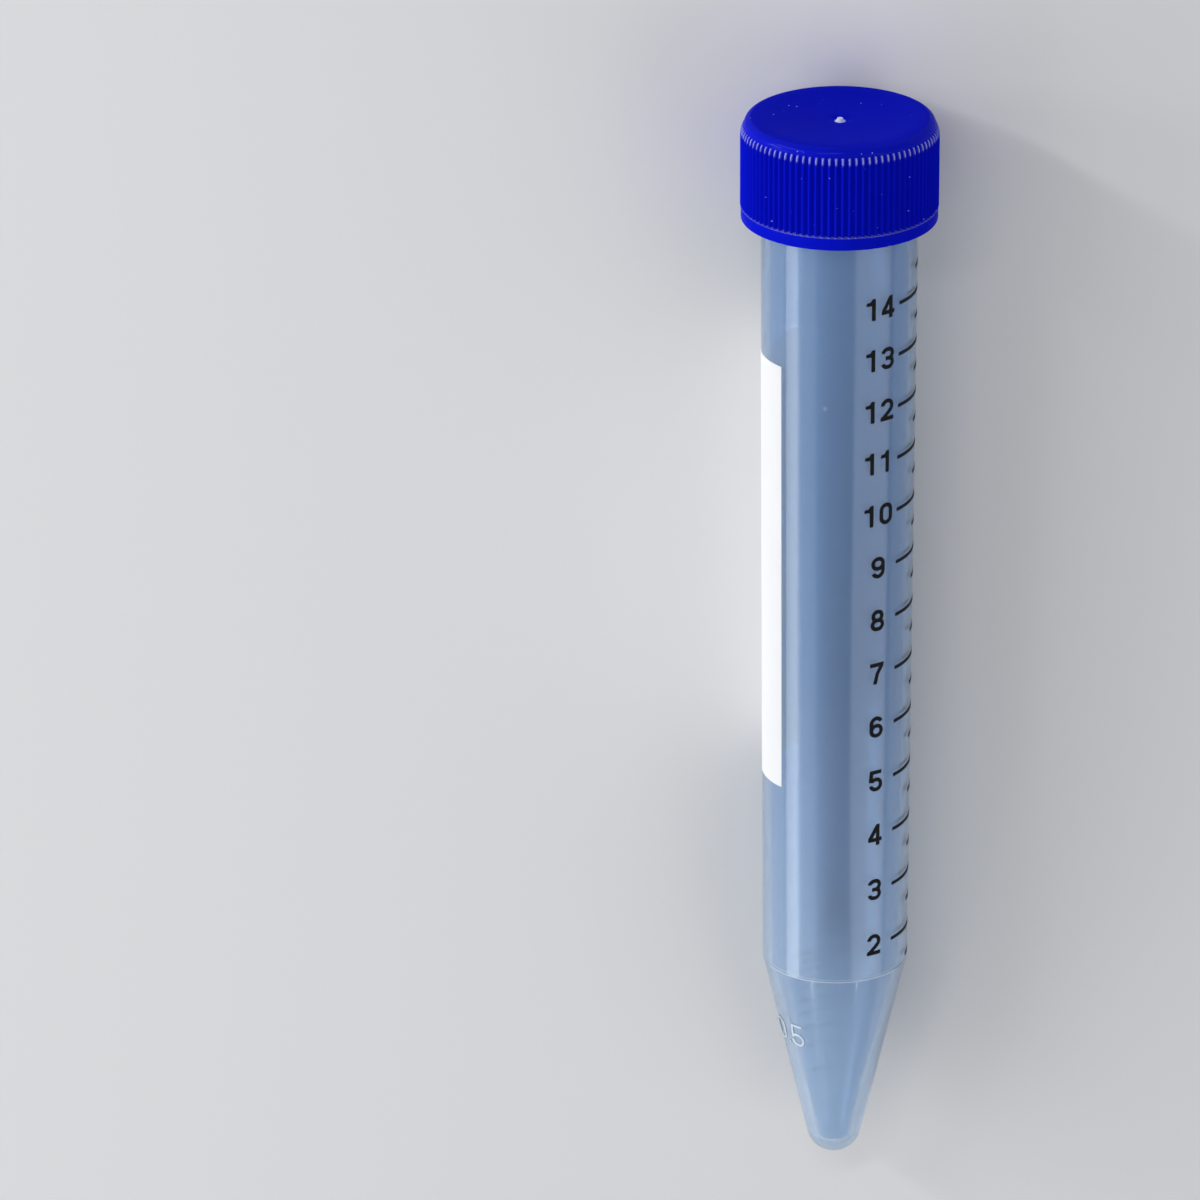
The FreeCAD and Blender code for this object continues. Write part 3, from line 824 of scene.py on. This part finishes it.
@dataclass
class TubeMoulding:
    """The clear tube with its neck thread and the marks on its cone.

    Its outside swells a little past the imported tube's, so that it covers the undersides of the
    prints. Its rows and columns are closer together where something is raised.
    """

    thread: NeckThread = field(default_factory=NeckThread)
    marks: ConeMarks = field(default_factory=ConeMarks)
    mouth_round: float = 0.0002
    mouth_steps: int = 4
    tip_steps: int = 14
    bore_tip_steps: int = 8
    shoulder_round: float = 0.0006
    swell: float = 0.000012
    plain_step: float = 2.0
    figure_step: float = 0.5
    figure_reach: float = 24.0
    thread_step: float = 0.00012
    plain_heights: tuple[float, ...] = (0.04, 0.06, 0.08, 0.1)
    thin_height: float = 0.075
    thick_height: float = 0.012
    # Raised marks and the shoulder's edge take a paler finish: on the marks partly a frosted look and
    # partly a painted highlight, on the shoulder's edge a painted highlight.
    whitened_from: float = 0.4
    whitened_edge: float = 0.7

    def __post_init__(self) -> None:
        """Works out the cones and the heights of the marks."""
        self.outer_cone = self.cone_angle(
            SIZES.shoulder_radius, SIZES.shoulder_height, SIZES.tip_radius, 0.0
        )
        self.bore_cone = self.cone_angle(
            SIZES.bore_shoulder_radius,
            SIZES.shoulder_height - SIZES.floor_thickness,
            SIZES.bore_tip_radius,
            SIZES.bore_flat_radius,
        )
        self.tick_heights = [
            self.marks.fill_height(tenth / 10.0, self.bore_cone)
            for tenth in range(1, self.marks.tenths + 1)
        ]
        self.figure_height = self.marks.fill_height(self.marks.figure_volume, self.bore_cone)
        shoulder_reach = self.shoulder_round * math.tan(self.outer_cone / 2.0)
        self.shoulder_line = self.whitened_edge * shoulder_reach

    @staticmethod
    def cone_angle(wide: float, height: float, tip: float, flat: float) -> float:
        """Half angle in radians of a cone that runs out tangent to a rounded tip.

        Args:
            wide: radius at the wide end.
            height: height of the wide end above the tip.
            tip: radius of the tip's arc.
            flat: radius of the flat that the arc goes round.

        Returns:
            The half angle.
        """
        lean = math.atan2(height - tip, wide - flat)
        return math.acos(tip / math.hypot(wide - flat, height - tip)) - lean

    def cone_radius(self, height: float) -> float:
        """Outside radius of the cone at a height."""
        return SIZES.shoulder_radius - (SIZES.shoulder_height - height) * math.tan(self.outer_cone)

    def angles(self) -> list[float]:
        """Columns round the axis, closer together where the cone's figures stand."""
        low = self.marks.figure_angle - self.figure_reach
        high = self.marks.figure_angle + self.figure_reach
        fine = int((high - low) / self.figure_step)
        coarse = int((360.0 - (high - low)) / self.plain_step)
        near = [low + (high - low) * index / fine for index in range(fine)]
        far = [high + (360.0 - high + low) * index / coarse for index in range(coarse)]
        return near + far

    def cone_heights(self) -> list[float]:
        """Heights of the rows on the cone, closer together at each mark."""
        marks = self.marks
        heights = set()
        reach = marks.line_width / 2.0
        for height in self.tick_heights:
            for away in (reach, reach + marks.edge):
                heights.update((height - away, height + away))
        half = marks.figure_height / 2.0 + marks.line_width
        steps = int(2.0 * half / marks.edge)
        for index in range(steps + 1):
            heights.add(self.figure_height - half + 2.0 * half * index / steps)
        return sorted(heights)

    def rows(self) -> list[TubePoint]:
        """The half section, from the tip up the outside and down the bore to the floor."""
        tip, round_off = SIZES.tip_radius, self.mouth_round
        outer = arc_points((0.0, tip), tip, -90.0, -math.degrees(self.outer_cone), self.tip_steps)
        shoulder = (SIZES.shoulder_radius + self.swell, SIZES.shoulder_height)
        lip_height = SIZES.length - round_off
        outer_lip = (SIZES.body_radius(lip_height) + self.swell, lip_height)
        bend = rounded_corner(outer[-1], shoulder, outer_lip, self.shoulder_round)
        cone = [
            (self.cone_radius(height) + self.swell, height)
            for height in self.cone_heights()
            if outer[-1][1] < height < bend[0][1]
        ]
        margin = self.thread.pitch / 3.0
        thread_low = self.thread.foot - margin
        thread_high = SIZES.length - self.thread.depth + margin
        count = int((thread_high - thread_low) / self.thread_step)
        thread_heights = [thread_low + self.thread_step * index for index in range(count)]
        neck = subdivided(bend[-1], outer_lip, [*self.plain_heights, *thread_heights])
        top_centre = (outer_lip[0] - round_off, lip_height)
        top = arc_points(top_centre, round_off, 0.0, 90.0, self.mouth_steps)
        lip_centre = (SIZES.bore_radius(lip_height) + round_off, lip_height)
        lip = arc_points(lip_centre, round_off, 90.0, 180.0, self.mouth_steps)
        bore_tip = arc_points(
            (SIZES.bore_flat_radius, SIZES.floor_thickness + SIZES.bore_tip_radius),
            SIZES.bore_tip_radius,
            -math.degrees(self.bore_cone),
            -90.0,
            self.bore_tip_steps,
        )
        bore_shoulder = (SIZES.bore_shoulder_radius, SIZES.shoulder_height)
        bore_bend = rounded_corner(lip[-1], bore_shoulder, bore_tip[0], self.shoulder_round)
        bore = subdivided(lip[-1], bore_bend[0], list(reversed(self.plain_heights)))
        outside = outer + cone + bend + neck + top
        inside = lip + bore + bore_bend + bore_tip
        return outside + inside + [(0.0, SIZES.floor_thickness)]

    def mark_relief(self, height: float, angle: float) -> float:
        """How far the moulded marks stand up at a place on the cone.

        Args:
            height: distance along the axis from the tip.
            angle: degrees round the axis.

        Returns:
            The relief in metres.
        """
        marks = self.marks
        best = 0.0
        reach = marks.line_width / 2.0 + marks.edge
        index = bisect.bisect(self.tick_heights, height)
        for place in (index - 1, index):
            if not 0 <= place < len(self.tick_heights):
                continue
            is_long = (place + 1) % marks.long_every == 0
            span = marks.long_span if is_long else marks.short_span
            inside = (angle - marks.tick_end + span) % 360.0 <= span
            away = abs(height - self.tick_heights[place])
            if inside:
                best = max(best, smooth_share((reach - away) / marks.edge))
        for centre, strokes in marks.figures():
            turn = (angle - centre + 180.0) % 360.0 - 180.0
            u = math.radians(turn) * self.cone_radius(self.figure_height)
            v = height - self.figure_height
            if abs(u) > marks.figure_width or abs(v) > marks.figure_height:
                continue
            away = min(stroke.distance(u, v) for stroke in strokes)
            best = max(best, smooth_share((reach - away) / marks.edge))
        return best * marks.relief_height

    def reshape(self, radius: float, height: float, angle: float) -> TubePoint:
        """Adds the thread and the moulded marks to a point of the outside.

        Args:
            radius: the point's plain radius.
            height: its height.
            angle: its angle.

        Returns:
            Its radius and height with the relief.
        """
        if self.is_on_cone(radius, height):
            return radius + self.mark_relief(height, angle), height
        if height > self.thread.foot - self.thread.pitch and radius > SIZES.body_radius(height):
            return radius + self.thread.relief(height, angle), height
        return radius, height

    def is_on_cone(self, radius: float, height: float) -> bool:
        """Whether a point of the half section lies on the cone's outside, above the round tip."""
        if not SIZES.tip_radius <= height < SIZES.shoulder_height:
            return False
        return radius > self.cone_radius(height) - self.swell

    def raised_and_highlight_share(self, radius: float, height: float, angle: float) -> float:
        """How much of a raised mark's full height stands at a point, and all of it along the shoulder's
        edge, which is painted pale as a highlight.
        """
        # The shoulder's edge gets the pale finish as a painted highlight.
        if abs(height - SIZES.shoulder_height) < self.shoulder_line:
            return 1.0
        if not self.is_on_cone(radius, height):
            return 0.0
        return self.mark_relief(height, angle) / self.marks.relief_height

    def thick_share(self, radius: float, height: float, angle: float) -> float:
        """How much thicker than the body's the wall is at a height: all of it at the cone."""
        return smooth_share((self.thin_height - height) / (self.thin_height - self.thick_height))

    def build(
        self, material: bpy.types.Material, whitened: bpy.types.Material
    ) -> bpy.types.Object:
        """Makes the tube.

        Args:
            material: its finish.
            whitened: the pale finish of its raised marks, partly a frosted look and partly a painted
                highlight, and of its shoulder's edge, a painted highlight.

        Returns:
            The piece, riding on its body.
        """
        shares = {"raised_mark_and_shoulder_highlight": self.raised_and_highlight_share, "thick_wall": self.thick_share}
        piece = lathe_mesh("clear_tube", self.rows(), self.angles(), self.reshape, shares)
        dress(piece, material)
        piece.data.materials.append(whitened)
        raised = piece.data.attributes["raised_mark_and_shoulder_highlight"].data
        for face in piece.data.polygons:
            if min(raised[vert].value for vert in face.vertices) > self.whitened_from:
                face.material_index = 1
        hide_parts("tube")
        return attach(piece, Body.TUBE.value)


# ---------------------------------------------------------------- the cap


@dataclass
class ScrewCap:
    """The blue cap with its ribs, its plug seal and its inner thread.

    A polish is a share, and 1 is full, and the same share paints the edge pale as a highlight. It rises
    polish_gain times as fast as the ribs run out, and on the rim it starts at rim_polish_from of the
    rim's radius.
    """

    height: float = 0.0112
    top_wall: float = 0.0017
    bore: float = 0.009334
    skirt_wall: float = 0.00077
    skirt_chamfer: float = 0.00025
    rib_count: int = 92
    rib_depth: float = 0.00038
    rib_half_share: float = 0.29
    rib_flank_share: float = 0.25
    rim_radius: float = 0.0009
    rim_steps: int = 15
    rib_top_gap: float = 0.001
    rib_runout: float = 0.0009
    runout_steps: int = 9
    band_height: float = 0.0015
    band_step: float = 0.00008
    band_ledge: float = 0.00012
    band_edge: float = 0.00015
    band_edge_steps: int = 4
    ledge_cut: float = 0.85
    dish_radius: float = 0.0084
    dish_depth: float = 0.00035
    dish_steps: int = 12
    dimple_radius: float = 0.0011
    dimple_depth: float = 0.0002
    nub_radius: float = 0.00045
    nub_top_radius: float = 0.0003
    nub_height: float = 0.00035
    nub_foot_width: float = 0.0002
    nub_foot_rise: float = 0.00004
    polish_fade: float = 0.00008
    polish_gain: float = 2.5
    ledge_polish_and_highlight: float = 0.7
    rim_polish_and_highlight: float = 0.1
    rim_polish_from: float = 0.3
    plug_clearance: float = 0.00005
    plug_length: float = 0.0028
    plug_wall: float = 0.0008
    plug_lead: float = 0.0003
    under_ring_share: float = 0.6
    thread_step: float = 0.00015
    thread: NeckThread = field(
        default_factory=lambda: NeckThread(height=0.0006, turns=1.5, depth=0.0044)
    )

    def __post_init__(self) -> None:
        """Works out the sizes that follow from the others."""
        self.top = SIZES.length + self.top_wall
        self.foot = self.top - self.height
        self.valley = self.bore + self.skirt_wall
        self.crest = self.valley + self.rib_depth
        self.band = self.crest - self.band_step
        self.rib_foot = self.foot + self.band_height - self.band_ledge
        self.ledge = self.rib_foot + self.band_ledge
        self.rib_top = self.top - self.rib_top_gap
        self.runout_foot = self.rib_top - self.rib_runout

    def angles(self) -> list[float]:
        """Columns round the axis: ten to a rib."""
        half = self.rib_half_share
        shares = (-0.5, -0.4, -half, -0.2, -0.1, 0.0, 0.1, 0.2, half, 0.4)
        pitch = 360.0 / self.rib_count
        return [
            (index + 0.5 + share) * pitch for index in range(self.rib_count) for share in shares
        ]

    def rib_height(self, angle: float) -> float:
        """Height of the ribs over the valleys at an angle.

        Args:
            angle: degrees round the axis.

        Returns:
            The height in metres.
        """
        phase = abs((angle * self.rib_count / 360.0) % 1.0 - 0.5)
        half, flank = self.rib_half_share, self.rib_flank_share
        if phase < half:
            return self.rib_depth * (flank + (1.0 - flank) * (1.0 - (phase / half) ** 2))
        return self.rib_depth * flank * ((0.5 - phase) / (0.5 - half)) ** 2

    def fade(self, height: float) -> float:
        """The share of the ribs' height that is left near their upper end."""
        share = (height - self.rib_top + self.rib_runout) / self.rib_runout
        if share <= 0.0:
            return 1.0
        return math.sqrt(max(1.0 - min(share, 1.0) ** 2, 0.0))

    def rows(self) -> list[TubePoint]:
        """The half section, from under the top wall, round the skirt, to the top's centre."""
        mouth = SIZES.length
        plug_end = mouth - self.plug_length
        plug_inner = SIZES.bore_radius(plug_end) - self.plug_clearance - self.plug_wall
        lead_top = plug_end + self.plug_lead
        under = [(0.0, mouth), (plug_inner * self.under_ring_share, mouth), (plug_inner, mouth)]
        plug = [
            (plug_inner, plug_end),
            (SIZES.bore_radius(plug_end) - self.plug_clearance - self.plug_lead, plug_end),
            (SIZES.bore_radius(lead_top) - self.plug_clearance, lead_top),
            (SIZES.bore_radius(mouth) - self.plug_clearance, mouth),
        ]
        inner_low = self.foot + self.skirt_chamfer
        count = int((mouth - inner_low) / self.thread_step)
        skirt = [(self.bore, mouth - (mouth - inner_low) * i / count) for i in range(count + 1)]
        skirt_end = [(self.bore + self.skirt_chamfer, self.foot)]
        edge_centre = (self.band - self.band_edge, self.foot + self.band_edge)
        edge = arc_points(edge_centre, self.band_edge, -90.0, 0.0, self.band_edge_steps)
        band_top = [(self.band, self.rib_foot - self.polish_fade), (self.band, self.rib_foot)]
        rib_heights = [self.ledge, self.ledge + self.polish_fade, (self.ledge + self.rib_top) / 2.0]
        for i in range(self.runout_steps + 1):
            quarter = math.sin(math.pi / 2.0 * i / self.runout_steps)
            rib_heights.append(self.runout_foot + self.rib_runout * quarter)
        ribs = [(self.valley, height) for height in rib_heights]
        rim_centre = (self.valley - self.rim_radius, self.top - self.rim_radius)
        rim = arc_points(rim_centre, self.rim_radius, 0.0, 90.0, self.rim_steps)
        rim.append((rim_centre[0] - self.polish_fade, self.top))
        run = self.dish_radius - self.dimple_radius
        dish = []
        for i in range(self.dish_steps + 1):
            radius = self.dimple_radius + run * (1.0 - i / self.dish_steps)
            dish.append((radius, self.dish_height(radius)))
        floor = self.top - self.dish_depth - self.dimple_depth
        nub = [
            (self.nub_radius + self.nub_foot_width, floor + self.nub_foot_rise),
            (self.nub_radius, floor),
            (self.nub_top_radius, floor + self.nub_height),
            (0.0, floor + self.nub_height),
        ]
        return under + plug + skirt + skirt_end + edge + band_top + ribs + rim + dish + nub

    def dish_height(self, radius: float) -> float:
        """Height of the dished top at a radius."""
        return self.top - self.dish_depth * (1.0 - (radius / self.dish_radius) ** 2)

    def reshape(self, radius: float, height: float, angle: float) -> TubePoint:
        """Adds the ribs and the inner thread to a point.

        Args:
            radius: the point's plain radius.
            height: its height.
            angle: its angle.

        Returns:
            Its radius and height with the relief.
        """
        if self.is_on_ribs(radius, height):
            rib = self.rib_height(angle) * self.fade(height)
            if is_same(height, self.ledge):
                height -= self.band_ledge * rib / self.rib_depth * self.ledge_cut
            return radius + rib, height
        if is_same(radius, self.bore):
            return radius - self.thread.relief(height, angle), height
        return radius, height

    def is_on_ribs(self, radius: float, height: float) -> bool:
        """Whether a point of the half section lies on the ribs."""
        return is_same(radius, self.valley) and self.rib_foot < height < self.rib_top

    def polish_and_highlight_share(self, radius: float, height: float, angle: float) -> float:
        """How polished a point is, and how pale its painted highlight: fully at the ribs' upper ends,
        less at the ledge and rim.
        """
        # The same share gives the coat's gloss and a painted highlight on the ledge, rib ends and rim.
        if is_same(radius, self.band) and is_same(height, self.rib_foot):
            return self.ledge_polish_and_highlight
        if self.is_on_ribs(radius, height):
            if is_same(height, self.ledge):
                return self.ledge_polish_and_highlight
            end = self.polish_gain * (height - self.rib_top + self.rib_runout) / self.rib_runout
            return smooth_share(end) * (self.rib_height(angle) / self.rib_depth) ** 2
        rim_start = self.valley - self.rim_radius + self.rim_radius * self.rim_polish_from
        return self.rim_polish_and_highlight if height > self.rib_top and radius > rim_start else 0.0

    def gate_glint_share(self, radius: float, height: float, angle: float) -> float:
        """How much of the gate nub is painted pale as a glint: all of it in the middle of the wall."""
        return 1.0 if radius < self.nub_radius + ROUNDING else 0.0

    def build(self, material: bpy.types.Material) -> bpy.types.Object:
        """Makes the cap.

        Args:
            material: its finish.

        Returns:
            The piece, riding on its body.
        """
        shares = {"polish_and_painted_highlight": self.polish_and_highlight_share, "gate_painted_glint": self.gate_glint_share}
        piece = lathe_mesh("ribbed_cap", self.rows(), self.angles(), self.reshape, shares)
        dress(piece, material)
        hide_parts("cap")
        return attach(piece, Body.CAP.value)


# ---------------------------------------------------------------- the print


@dataclass
class TubePrint:
    """The ink on the body: the white panel and the black scale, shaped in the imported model."""

    panel_node: str = "writing_panel"
    scale_node: str = "scale_print"

    def build(self, white: bpy.types.Material, black: bpy.types.Material) -> None:
        """Dresses the two fields of ink.

        Args:
            white: the panel's finish.
            black: the scale's finish.
        """
        dress(frame["nodes"][self.panel_node], white)
        dress(frame["nodes"][self.scale_node], black)


# ---------------------------------------------------------------- the studio


@dataclass(frozen=True)
class Softbox:
    """A square or oblong lamp that faces the tube."""

    name: str
    place: tuple[float, float, float]
    width: float
    length: float
    power: float

    def build(self, target: Vector) -> bpy.types.Object:
        """Makes the lamp.

        Args:
            target: the place it faces.

        Returns:
            The lamp.
        """
        data = bpy.data.lights.new(self.name, "AREA")
        data.shape = "RECTANGLE"
        data.size = self.width
        data.size_y = self.length
        data.energy = self.power
        lamp = bpy.data.objects.new(self.name, data)
        lamp.location = self.place
        lamp.rotation_euler = (target - lamp.location).to_track_quat("-Z", "Y").to_euler()
        bpy.context.scene.collection.objects.link(lamp)
        return lamp


@dataclass
class Studio:
    """The pale floor, the soft light and the camera."""

    floor_colour: tuple[float, float, float] = (0.79, 0.79, 0.8)
    floor_lighter: float = 1.03
    floor_mottle: float = 0.1
    floor_size: float = 6.0
    world_colour: tuple[float, float, float] = (0.95, 0.97, 1.0)
    world_strength: float = 0.34
    camera_reach: float = 0.913
    camera_height: float = 0.4529
    camera_pitch: float = 23.0
    camera_aside: float = 0.0254
    camera_roll: float = -0.26
    lens: float = 277.5
    lamps: tuple[Softbox, ...] = (
        Softbox("left_key_softbox", (-0.24, 0.575, 0.18), 0.5, 0.24, 1.2),
        Softbox("left_fill_softbox", (-0.2, 0.49, 0.36), 0.5, 0.42, 0.45),
        Softbox("right_softbox", (-0.28, -0.56, 0.42), 0.45, 0.72, 1.2),
        Softbox("cap_side_softbox", (0.12, 0.56, 0.1), 0.14, 0.16, 0.75),
        Softbox("head_softbox", (0.5, 0.2, 0.8), 0.5, 0.04, 1.1),
        Softbox("head_left_softbox", (0.42, 0.62, 0.32), 0.04, 0.5, 1.6),
        Softbox("cone_left_softbox", (-0.61, 0.41, 0.4), 0.12, 0.05, 0.22),
        Softbox("cone_right_softbox", (-0.61, -0.41, 0.4), 0.12, 0.05, 0.16),
    )

    def build_floor(self) -> bpy.types.Object:
        """Makes the floor, which isn't part of the object."""
        made = bmesh.new()
        bmesh.ops.create_grid(made, x_segments=1, y_segments=1, size=self.floor_size / 2.0)
        piece = finished_object(made, "floor")
        material, nodes, shader = new_material("pale_floor")
        noise = nodes.add("ShaderNodeTexNoise", Scale=3.0, Detail=2.0)
        share = nodes.maths("MULTIPLY", noise.outputs["Fac"], self.floor_mottle)
        lighter = tuple(channel * self.floor_lighter for channel in self.floor_colour)
        nodes.link(tinted(nodes, share, self.floor_colour, lighter), shader.inputs["Base Color"])
        shader.inputs["Roughness"].default_value = 0.8
        dress(piece, material)
        return piece

    def build_world(self) -> None:
        """Fills the surroundings with even light."""
        world = bpy.data.worlds.new("studio")
        world.use_nodes = True
        background = world.node_tree.nodes["Background"]
        background.inputs["Color"].default_value = (*self.world_colour, 1.0)
        background.inputs["Strength"].default_value = self.world_strength
        bpy.context.scene.world = world

    def build_camera(self) -> bpy.types.Object:
        """Makes the camera, which looks at angle 0 of the tube from the cap's side."""
        data = bpy.data.cameras.new("camera")
        data.lens = self.lens
        data.sensor_width = 36.0
        data.clip_start = 0.05
        data.clip_end = 20.0
        camera = bpy.data.objects.new("camera", data)
        pitch = math.radians(self.camera_pitch)
        yaw = math.asin(self.camera_aside / self.camera_reach)
        forward = Vector(
            (-math.cos(pitch) * math.cos(yaw), -math.cos(pitch) * math.sin(yaw), -math.sin(pitch))
        )
        right = forward.cross(Vector((0.0, 0.0, 1.0))).normalized()
        above = right.cross(forward)
        turned = Matrix((right, above, -forward)).transposed().to_4x4()
        roll = Matrix.Rotation(math.radians(self.camera_roll), 4, "Z")
        place = Matrix.Translation((self.camera_reach, 0.0, self.camera_height))
        camera.matrix_world = AXIS.matrix() @ place @ turned @ roll
        bpy.context.scene.collection.objects.link(camera)
        bpy.context.scene.camera = camera
        return camera

    def build(self) -> None:
        """Makes everything round the object."""
        self.build_floor()
        self.build_world()
        middle = AXIS.at(0.0, SIZES.length / 2.0, 0.0)
        for lamp in self.lamps:
            lamp.build(middle)
        self.build_camera()
        bpy.context.scene.view_settings.view_transform = "Standard"


# ---------------------------------------------------------------- everything


def main() -> None:
    """Builds and dresses every piece in order."""
    logging.basicConfig(level=logging.INFO, format="%(message)s")
    effects = SharedEffects()
    clear = ClearPlastic()
    # A paler, less clear finish: a painted highlight on the raised marks and the shoulder's edge, and
    # on the marks partly also a frosted look.
    whitened = replace(
        clear,
        name="whitened_polypropylene",
        colour=(0.78, 0.87, 0.97),
        milky=(0.82, 0.9, 0.99),
        thick=(0.84, 0.92, 1.0),
        transmission=0.4,
    )
    tube = TubeMoulding().build(clear.build(effects), whitened.build(effects))
    LOG.info("tube: %d faces", len(tube.data.polygons))
    cap = ScrewCap().build(CapPlastic().build(effects))
    LOG.info("cap: %d faces", len(cap.data.polygons))
    white = ScreenInk(Slot.WHITE.value, (0.94, 0.95, 0.96), (0.92, 0.93, 0.94), 0.3, 0.4, 0.0006)
    black = ScreenInk(Slot.BLACK.value, (0.004, 0.004, 0.005), (0.01, 0.01, 0.012), 0.12)
    TubePrint().build(white.build(effects), black.build(effects))
    LOG.info("print: dressed")
    Studio().build()
    LOG.info("studio: built")


if __name__ == "__main__":
    main()
